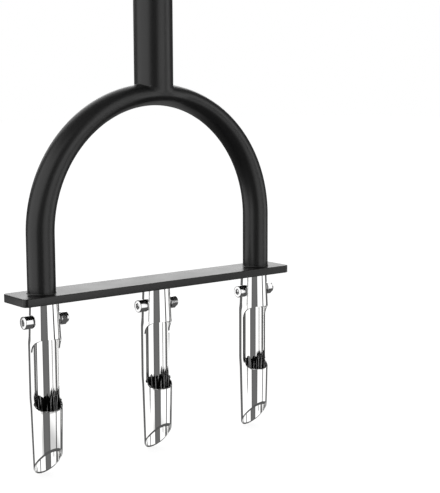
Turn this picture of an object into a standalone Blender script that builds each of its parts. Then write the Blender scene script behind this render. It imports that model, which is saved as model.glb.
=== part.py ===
"""Lawn coring aerator: T-handle, bolted three-piece pole, bent-tube bow, foot plate and three tines.

Units are metres and +Z is up. The origin is on the ground below the middle tine: the tips of the tines
stand at Z = 0. X runs along the foot plate and the handle, and the windows of the tines face -Y.
"""
import math

import bmesh
import bpy
from mathutils import Matrix, Vector

# Clearances
GAP = 0.0003
HOLE_CLEARANCE = 0.0003
SPIGOT_CLEARANCE = 0.0003

# Coring tines
TINE_LENGTH = 0.1003
TINE_PITCH = 0.0762
TINE_WALL = 0.0016
COLLAR_DIAMETER = 0.0162
WINDOW_DIAMETER = 0.0186
SLEEVE_DIAMETER = 0.0174
TIP_DIAMETER = 0.0160
SLEEVE_LENGTH = 0.0465
WINDOW_LENGTH = 0.0256
COLLAR_FLARE_LENGTH = 0.0090
COLLAR_TAPER_SHARE = 0.35
WINDOW_SLANT = math.radians(43.0)
WINDOW_FLOOR_OFFSET = 0.0004
TIP_BEVEL_HEIGHT = 0.0170
CUTTING_EDGE = 0.0008
TINE_SIDES = 28

# Tine spigots
SPIGOT_LENGTH = 0.0175
SPIGOT_CHAMFER = 0.0010
SPIGOT_SIDES = 20

# Foot plate
PLATE_LENGTH = 0.1903
PLATE_WIDTH = 0.0254
PLATE_THICKNESS = 0.0046
PLATE_CORNER = 0.0030
PLATE_EDGE = 0.0004

# Bow
BOW_TUBE_DIAMETER = 0.0158
BOW_WALL = 0.0016
BOW_SPREAD = 0.1550
BOW_INNER_HEIGHT = 0.1019
BOW_CROWN_THICKNESS = 0.0127
BOW_ARCH_RINGS = 22
BOW_SIDES = 20

# Pole
POLE_DIAMETER = 0.0227
POLE_WALL = 0.0016
POLE_SIDES = 28
LOWER_POLE_TOP = 0.3528
MIDDLE_POLE_LENGTH = 0.1828
SOCKET_DEPTH = 0.0600
SWAGE_LENGTH = 0.0050
POLE_EDGE = 0.0006
POLE_FOOT_LAP = 0.0042
LOWER_JOINT_BOLTS = (0.0115, 0.0353)
UPPER_JOINT_BOLTS = (0.0144, 0.0375)

# Handle
HANDLE_HEIGHT = 0.8866
CROSSBAR_DIAMETER = 0.0254
CROSSBAR_WALL = 0.0016
HANDLE_LENGTH = 0.2194
GRIP_DIAMETER = 0.0289
GRIP_END_THICKNESS = 0.0040
GRIP_INNER_END = 0.0120
GRIP_TAPER_LENGTH = 0.0093
GRIP_LIP = 0.0006
GRIP_END_ROUND = 0.0014

# Fasteners
TINE_BOLT_DIAMETER = 0.0040
TINE_HEAD_DIAMETER = 0.0074
TINE_HEAD_HEIGHT = 0.0048
TINE_NUT_WIDTH = 0.0070
TINE_NUT_HEIGHT = 0.0050
TINE_BOLT_DROP = 0.0107
POLE_BOLT_DIAMETER = 0.0050
POLE_HEAD_DIAMETER = 0.0083
POLE_HEAD_HEIGHT = 0.0056
POLE_NUT_WIDTH = 0.0080
POLE_NUT_HEIGHT = 0.0054
BOLT_END = 0.0009
HEAD_EDGE_SHARE = 0.12
SHANK_EDGE_SHARE = 0.20
SOCKET_SHARE = 0.48
SOCKET_DEPTH_SHARE = 0.55
NUT_FLANK_SHARE = 0.70
NUT_COLLAR_SHARE = 0.90
NUT_COLLAR_EDGE_SHARE = 0.12
NUT_CHAMFER_RISE = 0.80
FASTENER_SIDES = 14

# Places that follow from the sizes above
PLATE_LOW = TINE_LENGTH + GAP
PLATE_TOP = PLATE_LOW + PLATE_THICKNESS
LEG_X = BOW_SPREAD / 2
TUBE_RADIUS = BOW_TUBE_DIAMETER / 2
INNER_ARCH_RADIUS = LEG_X - TUBE_RADIUS
OUTER_ARCH_RADIUS = LEG_X + TUBE_RADIUS
CROWN_INNER = PLATE_TOP + BOW_INNER_HEIGHT
CROWN_TOP = CROWN_INNER + BOW_CROWN_THICKNESS
MIDDLE_POLE_LOW = LOWER_POLE_TOP + GAP
MIDDLE_POLE_TOP = MIDDLE_POLE_LOW + MIDDLE_POLE_LENGTH
UPPER_POLE_LOW = MIDDLE_POLE_TOP + GAP
TINE_BOLT_Z = PLATE_LOW - TINE_BOLT_DROP
HANDLE_HALF = HANDLE_LENGTH / 2
POLE_BOLT_HEIGHTS = {
    "lower_joint_upper": LOWER_POLE_TOP - LOWER_JOINT_BOLTS[0],
    "lower_joint_lower": LOWER_POLE_TOP - LOWER_JOINT_BOLTS[1],
    "upper_joint_lower": UPPER_POLE_LOW + UPPER_JOINT_BOLTS[0],
    "upper_joint_upper": UPPER_POLE_LOW + UPPER_JOINT_BOLTS[1],
}
TINE_PLACES = {"left": -TINE_PITCH, "middle": 0.0, "right": TINE_PITCH}


def clear_scene():
    for thing in list(bpy.data.objects):
        bpy.data.objects.remove(thing, do_unlink=True)


def make_collection(name):
    collection = bpy.data.collections.new(name)
    bpy.context.scene.collection.children.link(collection)
    return collection


def make_material(name, colour, roughness, metallic):
    material = bpy.data.materials.new(name)
    material.use_nodes = True
    shader = material.node_tree.nodes["Principled BSDF"]
    shader.inputs["Base Color"].default_value = (*colour, 1.0)
    shader.inputs["Roughness"].default_value = roughness
    shader.inputs["Metallic"].default_value = metallic
    material.diffuse_color = (*colour, 1.0)
    return material


def mesh_object(name, bm, collection, material=None):
    mesh = bpy.data.meshes.new(name)
    bm.to_mesh(mesh)
    bm.free()
    thing = bpy.data.objects.new(name, mesh)
    collection.objects.link(thing)
    if material is not None:
        mesh.materials.append(material)
        mesh.shade_smooth()
        mesh.set_sharp_from_angle(angle=math.radians(35.0))
    else:
        thing.hide_render = True
        thing.display_type = "WIRE"
    return thing


def turned(name, profile, steps, collection, material=None):
    """Turn a closed profile of (radius, height) points, outer side first and downwards, about Z."""
    bm = bmesh.new()
    verts = [bm.verts.new((radius, 0.0, height)) for radius, height in profile]
    for first, second in zip(verts, verts[1:] + verts[:1]):
        if first.co.x > 0 or second.co.x > 0:
            bm.edges.new((first, second))
    thing = mesh_object(name, bm, collection, material)
    screw = thing.modifiers.new("turn", "SCREW")
    screw.axis = "Z"
    screw.steps = steps
    screw.render_steps = steps
    screw.use_merge_vertices = True
    screw.merge_threshold = 0.00001
    screw.use_smooth_shade = material is not None
    return thing


def cylinder_cutter(name, radius, length, place, direction, cutters, sides=16):
    bm = bmesh.new()
    bmesh.ops.create_cone(bm, cap_ends=True, segments=sides, radius1=radius, radius2=radius, depth=length)
    turn = Vector((0, 0, 1)).rotation_difference(Vector(direction)).to_matrix().to_4x4()
    bmesh.ops.transform(bm, matrix=Matrix.Translation(place) @ turn, verts=bm.verts)
    return mesh_object(name, bm, cutters)


def cut(thing, cutter, operation="DIFFERENCE"):
    step = thing.modifiers.new(cutter.name, "BOOLEAN")
    step.operation = operation
    step.object = cutter
    step.solver = "EXACT"


def along_x(thing, facing=1):
    """Lay a piece that was turned about Z along X, its top towards +X or -X."""
    thing.rotation_euler = (0.0, facing * math.pi / 2, 0.0)


def smooth_step(share):
    share = min(max(share, 0.0), 1.0)
    return share * share * (3.0 - 2.0 * share)


def tine_radius(height):
    """Outer radius of a tine at a height above its tip: slim tip, sleeve, spread window, slim collar."""
    tip, sleeve = TIP_DIAMETER / 2, SLEEVE_DIAMETER / 2
    window, collar = WINDOW_DIAMETER / 2, COLLAR_DIAMETER / 2
    window_top = SLEEVE_LENGTH + WINDOW_LENGTH
    flare_low = SLEEVE_LENGTH - COLLAR_FLARE_LENGTH
    if height < flare_low:
        return tip + (sleeve - tip) * smooth_step(height / flare_low)
    if height < SLEEVE_LENGTH:
        return sleeve + (window - sleeve) * smooth_step((height - flare_low) / COLLAR_FLARE_LENGTH)
    if height < window_top:
        return window
    bottom_of_collar = collar + (window - collar) * COLLAR_TAPER_SHARE
    if height < window_top + COLLAR_FLARE_LENGTH:
        share = smooth_step((height - window_top) / COLLAR_FLARE_LENGTH)
        return window + (bottom_of_collar - window) * share
    share = (height - window_top - COLLAR_FLARE_LENGTH) / (TINE_LENGTH - window_top - COLLAR_FLARE_LENGTH)
    return bottom_of_collar + (collar - bottom_of_collar) * share


def tine_profile():
    window_top = SLEEVE_LENGTH + WINDOW_LENGTH
    heights = [TINE_LENGTH]
    heights += [window_top + COLLAR_FLARE_LENGTH * k / 3 for k in (3, 2, 1, 0)]
    heights += [SLEEVE_LENGTH - COLLAR_FLARE_LENGTH * k / 2 for k in (0, 1, 2)]
    heights += [(SLEEVE_LENGTH - COLLAR_FLARE_LENGTH) * k / 3 for k in (2, 1, 0)]
    outer = [(tine_radius(h), h) for h in heights]
    inner = [(tine_radius(h) - TINE_WALL, h) for h in reversed(heights)]
    inner[0] = (outer[-1][0] - CUTTING_EDGE, 0.0)
    return outer + inner


def window_cutter(name, x, cutters):
    """A prism along X whose section, seen from the side, is the window: slanted ends and a flat floor."""
    reach = WINDOW_DIAMETER
    rise = reach * math.tan(WINDOW_SLANT)
    floor = -WINDOW_FLOOR_OFFSET
    low, high = SLEEVE_LENGTH, SLEEVE_LENGTH + WINDOW_LENGTH
    section = [(floor, low), (floor - reach, low - rise), (floor - reach, high + rise), (floor, high)]
    bm = bmesh.new()
    half = WINDOW_DIAMETER
    near = [bm.verts.new((x - half, y, z)) for y, z in section]
    far = [bm.verts.new((x + half, y, z)) for y, z in section]
    bm.faces.new(near)
    bm.faces.new(list(reversed(far)))
    for k in range(len(section)):
        nxt = (k + 1) % len(section)
        bm.faces.new((near[k], far[k], far[nxt], near[nxt]))
    bmesh.ops.recalc_face_normals(bm, faces=bm.faces)
    return mesh_object(name, bm, cutters)


def bevel_cutter(name, x, cutters):
    """A block below the slant plane that rises from the back of the tip to TIP_BEVEL_HEIGHT at its front."""
    bm = bmesh.new()
    size = 4 * WINDOW_DIAMETER
    bmesh.ops.create_cube(bm, size=size)
    slant = math.atan2(TIP_BEVEL_HEIGHT, TIP_DIAMETER)
    bmesh.ops.translate(bm, verts=bm.verts, vec=(0, 0, -size / 2))
    turn = Matrix.Rotation(-slant, 4, "X")
    place = Matrix.Translation((x, TIP_DIAMETER / 2, 0.0))
    bmesh.ops.transform(bm, matrix=place @ turn, verts=bm.verts)
    return mesh_object(name, bm, cutters)


def make_tine(side, x, parts, cutters, steel):
    tine = turned(f"{side}_tine", tine_profile(), TINE_SIDES, parts, steel)
    tine.location = (x, 0.0, 0.0)
    cut(tine, window_cutter(f"{side}_window_cutter", x, cutters))
    cut(tine, bevel_cutter(f"{side}_tip_cutter", x, cutters))
    hole = cylinder_cutter(
        f"{side}_tine_hole_cutter", TINE_BOLT_DIAMETER / 2 + HOLE_CLEARANCE, 2 * WINDOW_DIAMETER,
        (x, 0.0, TINE_BOLT_Z), (1, 0, 0), cutters)
    cut(tine, hole)
    return hole


def make_spigot(side, x, hole, parts, steel):
    """Round stud under the plate that fills the collar where the collar is narrowest."""
    top = PLATE_LOW - GAP
    radius = COLLAR_DIAMETER / 2 - TINE_WALL - SPIGOT_CLEARANCE
    low = top - SPIGOT_LENGTH
    profile = [
        (0.0, top),
        (radius, top),
        (radius, low + SPIGOT_CHAMFER),
        (radius - SPIGOT_CHAMFER, low),
        (0.0, low),
    ]
    spigot = turned(f"{side}_tine_spigot", profile, SPIGOT_SIDES, parts, steel)
    spigot.location = (x, 0.0, 0.0)
    cut(spigot, hole)


def make_foot_plate(parts, paint):
    """Flat bar with rounded corners and a slightly broken edge all round."""
    bm = bmesh.new()
    bmesh.ops.create_cube(bm, size=1.0)
    bmesh.ops.scale(bm, vec=(PLATE_LENGTH, PLATE_WIDTH, PLATE_THICKNESS), verts=bm.verts)
    upright = [e for e in bm.edges if abs(e.verts[0].co.z - e.verts[1].co.z) > PLATE_THICKNESS / 2]
    bmesh.ops.bevel(bm, geom=upright, offset=PLATE_CORNER, segments=6, affect="EDGES", profile=0.5)
    rims = [e for e in bm.edges if abs(e.verts[0].co.z - e.verts[1].co.z) < PLATE_EDGE / 2]
    bmesh.ops.bevel(bm, geom=rims, offset=PLATE_EDGE, segments=2, affect="EDGES", profile=0.5)
    plate = mesh_object("foot_plate", bm, parts, paint)
    plate.location = (0.0, 0.0, (PLATE_LOW + PLATE_TOP) / 2)


def bow_stations():
    """Centre, in-plane half-axis and half-width in Y of each section, from one foot over the crown.

    The inner side of the arch is a half circle. The outer side is a half ellipse whose crown is lower by the
    tube's flattening, and the section spreads in Y so that its outline keeps its length.
    """
    foot = PLATE_TOP + GAP
    spring = CROWN_INNER - INNER_ARCH_RADIUS
    outer_rise = CROWN_TOP - spring
    stations = []
    for k in range(BOW_ARCH_RINGS + 1):
        angle = math.pi * k / BOW_ARCH_RINGS
        across, up = math.cos(angle), math.sin(angle)
        inner = Vector((INNER_ARCH_RADIUS * across, 0.0, spring + INNER_ARCH_RADIUS * up))
        outer = Vector((OUTER_ARCH_RADIUS * across, 0.0, spring + outer_rise * up))
        half_axis = (outer - inner) / 2
        thin = half_axis.length
        wide = math.sqrt(max(2 * TUBE_RADIUS ** 2 - thin ** 2, thin ** 2))
        stations.append(((inner + outer) / 2, half_axis, wide))
    first, last = Vector((LEG_X, 0.0, foot)), Vector((-LEG_X, 0.0, foot))
    stations.insert(0, (first, Vector((TUBE_RADIUS, 0.0, 0.0)), TUBE_RADIUS))
    stations.append((last, Vector((-TUBE_RADIUS, 0.0, 0.0)), TUBE_RADIUS))
    return stations


def section_ring(bm, centre, half_axis, wide, shrink):
    """Ring of points round one oval section, its wall taken off by shrink."""
    thin = half_axis.length
    direction = half_axis / thin
    ring = []
    for k in range(BOW_SIDES):
        angle = 2 * math.pi * k / BOW_SIDES
        across = direction * (thin - shrink) * math.cos(angle)
        ring.append(bm.verts.new(centre + across + Vector((0.0, (wide - shrink) * math.sin(angle), 0.0))))
    return ring


def bridge(bm, first, second):
    for k in range(len(first)):
        nxt = (k + 1) % len(first)
        bm.faces.new((first[k], first[nxt], second[nxt], second[k]))


def make_bow(parts, paint):
    """Loft of the tube's outer and inner skins, joined by flat rings at the two feet."""
    bm = bmesh.new()
    stations = bow_stations()
    outer = [section_ring(bm, *station, 0.0) for station in stations]
    inner = [section_ring(bm, *station, BOW_WALL) for station in stations]
    for first, second in zip(outer, outer[1:]):
        bridge(bm, first, second)
    for first, second in zip(inner, inner[1:]):
        bridge(bm, second, first)
    bridge(bm, inner[0], outer[0])
    bridge(bm, outer[-1], inner[-1])
    bmesh.ops.recalc_face_normals(bm, faces=bm.faces)
    mesh_object("bow_tube", bm, parts, paint)


def crown_cutter(cutters):
    """The bow's outer skin grown by the gap: it copes the foot of the lower pole."""
    bm = bmesh.new()
    rings = [section_ring(bm, *station, -GAP) for station in bow_stations()]
    for first, second in zip(rings, rings[1:]):
        bridge(bm, first, second)
    bm.faces.new(rings[0])
    bm.faces.new(rings[-1])
    bmesh.ops.recalc_face_normals(bm, faces=bm.faces)
    return mesh_object("crown_cutter", bm, cutters)


def pole_holes(joint, cutters):
    """Cutters for the two bolt holes of one joint, through both walls."""
    holes = []
    for name, height in POLE_BOLT_HEIGHTS.items():
        if name.startswith(joint):
            holes.append(cylinder_cutter(
                f"{name}_hole_cutter", POLE_BOLT_DIAMETER / 2 + HOLE_CLEARANCE, 2 * POLE_DIAMETER,
                (0.0, 0.0, height), (1, 0, 0), cutters))
    return holes


def tube_profile(radius, wall, low, top, edge_low=0.0, edge_top=0.0):
    profile = [(radius, top - edge_top), (radius, low + edge_low)]
    if edge_top > 0.0:
        profile.insert(0, (radius - edge_top, top))
    if edge_low > 0.0:
        profile.append((radius - edge_low, low))
    return profile + [(radius - wall, low), (radius - wall, top)]


def make_poles(parts, cutters, paint):
    radius = POLE_DIAMETER / 2
    top = HANDLE_HEIGHT - POLE_WALL
    profile = tube_profile(radius, POLE_WALL, UPPER_POLE_LOW, top, edge_low=POLE_EDGE)
    upper = turned("upper_pole", profile, POLE_SIDES, parts, paint)
    cut(upper, cylinder_cutter(
        "crossbar_cutter", CROSSBAR_DIAMETER / 2 + GAP, 3 * POLE_DIAMETER,
        (0.0, 0.0, HANDLE_HEIGHT), (1, 0, 0), cutters, sides=64))
    low = CROWN_TOP - POLE_FOOT_LAP
    profile = tube_profile(radius, POLE_WALL, low, LOWER_POLE_TOP, edge_top=POLE_EDGE)
    lower = turned("lower_pole", profile, POLE_SIDES, parts, paint)
    cut(lower, crown_cutter(cutters))
    spigot = radius - POLE_WALL - SPIGOT_CLEARANCE
    bore = spigot - POLE_WALL
    low, top = MIDDLE_POLE_LOW, MIDDLE_POLE_TOP
    middle = turned("middle_pole", [
        (spigot - POLE_EDGE, top + SOCKET_DEPTH),
        (spigot, top + SOCKET_DEPTH - POLE_EDGE),
        (spigot, top),
        (radius - POLE_EDGE, top),
        (radius, top - POLE_EDGE),
        (radius, low + POLE_EDGE),
        (radius - POLE_EDGE, low),
        (spigot, low),
        (spigot, low - SOCKET_DEPTH + POLE_EDGE),
        (spigot - POLE_EDGE, low - SOCKET_DEPTH),
        (bore, low - SOCKET_DEPTH),
        (bore, low),
        (radius - POLE_WALL, low + SWAGE_LENGTH),
        (radius - POLE_WALL, top - SWAGE_LENGTH),
        (bore, top),
        (bore, top + SOCKET_DEPTH),
    ], POLE_SIDES, parts, paint)
    for hole in pole_holes("upper_joint", cutters):
        cut(upper, hole)
        cut(middle, hole)
    for hole in pole_holes("lower_joint", cutters):
        cut(lower, hole)
        cut(middle, hole)


def make_handle(parts, paint, rubber):
    tube_half = HANDLE_HALF - GRIP_END_THICKNESS - GAP
    crossbar = turned(
        "handle_crossbar", tube_profile(CROSSBAR_DIAMETER / 2, CROSSBAR_WALL, -tube_half, tube_half),
        POLE_SIDES, parts, paint)
    along_x(crossbar)
    crossbar.location = (0.0, 0.0, HANDLE_HEIGHT)
    bore = CROSSBAR_DIAMETER / 2 + GAP
    radius = GRIP_DIAMETER / 2
    centre_radius, centre_height = radius - GRIP_END_ROUND, HANDLE_HALF - GRIP_END_ROUND
    profile = [(0.0, HANDLE_HALF)]
    for degrees in (0, 45, 90):
        out = GRIP_END_ROUND * math.sin(math.radians(degrees))
        up = GRIP_END_ROUND * math.cos(math.radians(degrees))
        profile.append((centre_radius + out, centre_height + up))
    profile += [
        (radius, GRIP_INNER_END + GRIP_TAPER_LENGTH),
        (bore + GRIP_LIP, GRIP_INNER_END),
        (bore, GRIP_INNER_END),
        (bore, tube_half + GAP),
        (0.0, tube_half + GAP),
    ]
    for name, facing in (("left_grip", -1), ("right_grip", 1)):
        grip = turned(name, profile, POLE_SIDES, parts, rubber)
        along_x(grip, facing)
        grip.location = (0.0, 0.0, HANDLE_HEIGHT)


def make_bolt(name, x_seat, x_end, z, sizes, parts, cutters, steel):
    """Socket head cap screw along X, its head on the -X side: seat and shank end are given in X.

    The sizes are its shank diameter, head diameter and head height.
    """
    radius, head, head_height = sizes[0] / 2, sizes[1] / 2, sizes[2]
    edge = head * HEAD_EDGE_SHARE
    length = x_end - x_seat
    end_edge = radius * SHANK_EDGE_SHARE
    profile = [
        (0.0, head_height),
        (head - edge, head_height),
        (head, head_height - edge),
        (head, 0.0),
        (radius, 0.0),
        (radius, end_edge - length),
        (radius - end_edge, -length),
        (0.0, -length),
    ]
    bolt = turned(name, profile, FASTENER_SIDES, parts, steel)
    along_x(bolt, -1)
    bolt.location = (x_seat, 0.0, z)
    socket_depth = head_height * SOCKET_DEPTH_SHARE
    socket = cylinder_cutter(
        f"{name}_socket_cutter", head * SOCKET_SHARE * 2 / math.sqrt(3), 2 * socket_depth,
        (x_seat - head_height, 0.0, z), (1, 0, 0), cutters, sides=6)
    cut(bolt, socket)


def make_nut(name, x_seat, z, sizes, parts, cutters, steel):
    """Lock nut along X: a chamfered hexagon with a plain round collar on its outer side.

    The sizes are its width across the flats, its height and the diameter of its bolt.
    """
    width, height, bolt_diameter = sizes
    flank = height * NUT_FLANK_SHARE
    corner = width / math.sqrt(3)
    bm = bmesh.new()
    bmesh.ops.create_cone(bm, cap_ends=True, segments=6, radius1=corner, radius2=corner, depth=2 * height)
    bmesh.ops.translate(bm, verts=bm.verts, vec=(0.0, 0.0, height))
    nut = mesh_object(name, bm, parts, steel)
    along_x(nut)
    nut.location = (x_seat, 0.0, z)
    flat = width / 2
    collar = flat * NUT_COLLAR_SHARE
    collar_edge = flat * NUT_COLLAR_EDGE_SHARE
    envelope = turned(f"{name}_envelope_cutter", [
        (0.0, height),
        (collar - collar_edge, height),
        (collar, height - collar_edge),
        (collar, flank),
        (flat, flank),
        (corner + GAP, flank - (corner - flat) * NUT_CHAMFER_RISE),
        (corner + GAP, -height),
        (0.0, -height),
    ], FASTENER_SIDES, cutters)
    along_x(envelope)
    envelope.location = nut.location
    cut(nut, envelope, "INTERSECT")
    bore = cylinder_cutter(
        f"{name}_bore_cutter", bolt_diameter / 2 + HOLE_CLEARANCE / 2, 3 * height,
        (x_seat, 0.0, z), (1, 0, 0), cutters, sides=12)
    cut(nut, bore)


def make_fasteners(parts, cutters, steel):
    seat = POLE_DIAMETER / 2 + GAP
    end = seat + POLE_NUT_HEIGHT + BOLT_END
    bolt_sizes = (POLE_BOLT_DIAMETER, POLE_HEAD_DIAMETER, POLE_HEAD_HEIGHT)
    nut_sizes = (POLE_NUT_WIDTH, POLE_NUT_HEIGHT, POLE_BOLT_DIAMETER)
    for name, height in POLE_BOLT_HEIGHTS.items():
        make_bolt(f"{name}_bolt", -seat, end, height, bolt_sizes, parts, cutters, steel)
        make_nut(f"{name}_nut", seat, height, nut_sizes, parts, cutters, steel)
    seat = tine_radius(TINE_BOLT_Z - TINE_NUT_WIDTH / math.sqrt(3)) + GAP
    end = seat + TINE_NUT_HEIGHT + BOLT_END
    bolt_sizes = (TINE_BOLT_DIAMETER, TINE_HEAD_DIAMETER, TINE_HEAD_HEIGHT)
    nut_sizes = (TINE_NUT_WIDTH, TINE_NUT_HEIGHT, TINE_BOLT_DIAMETER)
    for side, x in TINE_PLACES.items():
        make_bolt(f"{side}_tine_bolt", x - seat, x + end, TINE_BOLT_Z, bolt_sizes, parts, cutters, steel)
        make_nut(f"{side}_tine_nut", x + seat, TINE_BOLT_Z, nut_sizes, parts, cutters, steel)


def build():
    clear_scene()
    parts = make_collection("lawn_coring_aerator")
    cutters = make_collection("cutters")
    paint = make_material("black_powder_coat", (0.03, 0.03, 0.03), 0.38, 0.0)
    rubber = make_material("black_grip", (0.02, 0.02, 0.02), 0.62, 0.0)
    stainless = make_material("polished_stainless", (0.80, 0.80, 0.80), 0.08, 1.0)
    zinc = make_material("bright_fasteners", (0.75, 0.75, 0.75), 0.20, 1.0)
    for side, x in TINE_PLACES.items():
        hole = make_tine(side, x, parts, cutters, stainless)
        make_spigot(side, x, hole, parts, paint)
    make_foot_plate(parts, paint)
    make_bow(parts, paint)
    make_poles(parts, cutters, paint)
    make_handle(parts, paint, rubber)
    make_fasteners(parts, cutters, zinc)


build()
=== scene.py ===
import math

import bmesh
import bpy
import numpy as np
from mathutils import Matrix, Vector


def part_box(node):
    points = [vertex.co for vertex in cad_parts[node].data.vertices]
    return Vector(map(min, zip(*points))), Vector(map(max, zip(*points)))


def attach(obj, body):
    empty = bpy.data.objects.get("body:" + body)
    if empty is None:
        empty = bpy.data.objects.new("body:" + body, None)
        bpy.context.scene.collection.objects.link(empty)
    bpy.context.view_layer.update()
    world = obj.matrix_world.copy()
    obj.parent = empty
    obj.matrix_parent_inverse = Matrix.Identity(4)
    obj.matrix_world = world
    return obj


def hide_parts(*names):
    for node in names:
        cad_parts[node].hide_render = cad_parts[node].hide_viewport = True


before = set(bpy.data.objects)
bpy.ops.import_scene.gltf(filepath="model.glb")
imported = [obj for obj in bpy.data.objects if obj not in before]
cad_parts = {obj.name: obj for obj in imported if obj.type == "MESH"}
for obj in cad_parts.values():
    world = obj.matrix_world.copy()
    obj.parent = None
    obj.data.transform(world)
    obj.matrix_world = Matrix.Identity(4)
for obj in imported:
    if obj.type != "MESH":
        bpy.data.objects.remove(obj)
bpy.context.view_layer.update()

# Coring tines: three stainless steel tubes that punch the plugs out of the turf. Each is swaged from one
# tube: a slim collar bolted under the plate, a spread middle whose front half is cut away as the window
# where the plug leaves, a sleeve, and a tip ground to a slant and sharpened from inside, and then polished.
TINE_SIDES = ("left", "middle", "right")
TINE_WALL = 0.0010
COLLAR_WALL = 0.0016
COLLAR_RADIUS = 0.0081
SLEEVE_RADIUS = 0.0089
TIP_RADIUS = 0.0080
SLEEVE_LENGTH = 0.0465
WINDOW_LENGTH = 0.0256
FLARE_START = 0.0048
FLARE_LENGTH = 0.0052
SLEEVE_FLARE_LENGTH = 0.0080
COLLAR_TAPER_SHARE = 0.65
WINDOW_ROOF_RISE = 0.0083
WINDOW_FLOOR_DROP = 0.0068
WINDOW_FLOOR = -0.0004
TIP_BEVEL_HEIGHT = 0.0170
CUTTING_EDGE = 0.0008
SHARPENED_LENGTH = 0.0006
TIP_BREAK = 0.0004
TIP_BREAK_HEIGHT = 0.0007
TIP_BREAK_ROWS = 4
TINE_HOLE_RADIUS = 0.0023
tine_low, tine_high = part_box("middle_tine")
TINE_TOP = tine_high.z
WINDOW_RADIUS = (tine_high.x - tine_low.x) / 2
WINDOW_LOW = SLEEVE_LENGTH
WINDOW_HIGH = SLEEVE_LENGTH + WINDOW_LENGTH
right_low, right_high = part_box("right_tine")
TINE_PITCH = (right_low.x + right_high.x) / 2
BACK_COLUMNS = 120
FRONT_COLUMNS = 120
FRONT_CROWDING = 0.8
SLEEVE_ROWS = 56
WINDOW_ROWS = 20
COLLAR_ROWS = 32
CUT_ROUNDS = 8
SEAM_GAP = 1e-7
DRILL_COLUMNS = 32
DRILL_REACH = 0.03


def shader_node(tree, kind, inputs=None, **settings):
    """Adds one shader node. inputs maps a socket's name or number to a value or to another node's socket."""
    node = tree.nodes.new(kind)
    for key, value in settings.items():
        setattr(node, key, value)
    for key, value in (inputs or {}).items():
        if isinstance(value, bpy.types.NodeSocket):
            tree.links.new(value, node.inputs[key])
        else:
            node.inputs[key].default_value = value
    return node


def finish_material(name, colour, metallic, roughness):
    """A material whose shader holds the plain values, and a socket of Object coordinates for its texture."""
    material = bpy.data.materials.new(name)
    material.use_nodes = True
    tree = material.node_tree
    shader = tree.nodes["Principled BSDF"]
    shader.inputs["Base Color"].default_value = (*colour, 1.0)
    shader.inputs["Metallic"].default_value = metallic
    shader.inputs["Roughness"].default_value = roughness
    place = shader_node(tree, "ShaderNodeTexCoord").outputs["Object"]
    return material, tree, shader, place


def calc(operation, first, second=None, third=None):
    """One Math node of the tree that is being built."""
    values = {k: v for k, v in enumerate((first, second, third)) if v is not None}
    return shader_node(tree, "ShaderNodeMath", values, operation=operation).outputs[0]


def between(value, start, end, first, second, kind="SMOOTHSTEP"):
    """Goes from first to second as value goes from start to end: eased, or evenly where kind is LINEAR."""
    return shader_node(tree, "ShaderNodeMapRange", {
        "Value": value, "From Min": start, "From Max": end, "To Min": first, "To Max": second},
        interpolation_type=kind).outputs["Result"]


def all_of(*masks):
    """1 where every mask is 1: their product."""
    result = masks[0]
    for mask in masks[1:]:
        result = calc("MULTIPLY", result, mask)
    return result


def squares(first, second):
    """first squared plus second squared."""
    return calc("ADD", calc("POWER", first, 2.0), calc("POWER", second, 2.0))


def noise(frequency, detail, stretch=1.0):
    """Noise of the material that is being built, from 0 to 1. A stretch below 1 draws it out along Z."""
    drawn_out = shader_node(tree, "ShaderNodeMapping", {"Vector": place, "Scale": (1.0, 1.0, stretch)})
    return shader_node(tree, "ShaderNodeTexNoise", {
        "Vector": drawn_out.outputs[0], "Scale": frequency, "Detail": detail}).outputs["Fac"]


# Mirror polish: a bright metal with faint lengthwise rubbing marks, which change how sharp it reflects.
# Below the window the bore and the lip are painted a dull black as painted shade, for the shadow inside the
# tube, with a ragged upper edge and painted streaks of reflected light that run along the tube.
NOISE_MIDDLE = 0.5
POLISH_COLOUR = (0.93, 0.93, 0.925)
POLISH_PLAIN_ROUGHNESS = 0.03
POLISH_ROUGHNESS = (0.008, 0.03)
MARK_FREQUENCY = 2600.0
MARK_STRETCH = 0.04
MARK_RANGE = (0.35, 0.75)
# Painted shade: the bore and the lip below the window are coloured dark for the shadow inside the tube.
BORE_SHADE_COLOUR = (0.002, 0.002, 0.002)
BORE_SHADE_IOR = 1.15
BORE_SHADE_ROUGHNESS = 0.35
BORE_SHADE_FREQUENCY = 900.0
BORE_SHADE_STRETCH = 0.03
BORE_SHADE_RAGGED = 0.0080
BORE_SHADE_TOP = 0.0445
BORE_SHADE_TOP_EASE = 0.0001
BORE_SHADE_BOTTOM = 0.0240
BORE_SHADE_BOTTOM_FADE = 0.0040
BORE_SHADE_RADIUS = 0.0071
BORE_SHADE_SLOPE = 0.035
LIP_SHADE_RADIUS = 0.0090
LIP_SHADE_RAGGED = 0.0040
LIP_SHADE_TOP = 0.0406
LIP_NEARNESS = 0.04
# Painted reflection: lighter streaks of reflected light along the tube, within the bore's painted shade.
PAINTED_STREAK_COLOUR = (0.36, 0.36, 0.36)
PAINTED_STREAK_FREQUENCY = 1000.0
PAINTED_STREAK_STRETCH = 0.02
PAINTED_STREAK_RANGE = (0.53, 0.60)
polish, tree, shader, place = finish_material(
    "polished_stainless", POLISH_COLOUR, 1.0, POLISH_PLAIN_ROUGHNESS)
shader.inputs["IOR"].default_value = BORE_SHADE_IOR
axes = shader_node(tree, "ShaderNodeSeparateXYZ", {"Vector": place}).outputs
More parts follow.
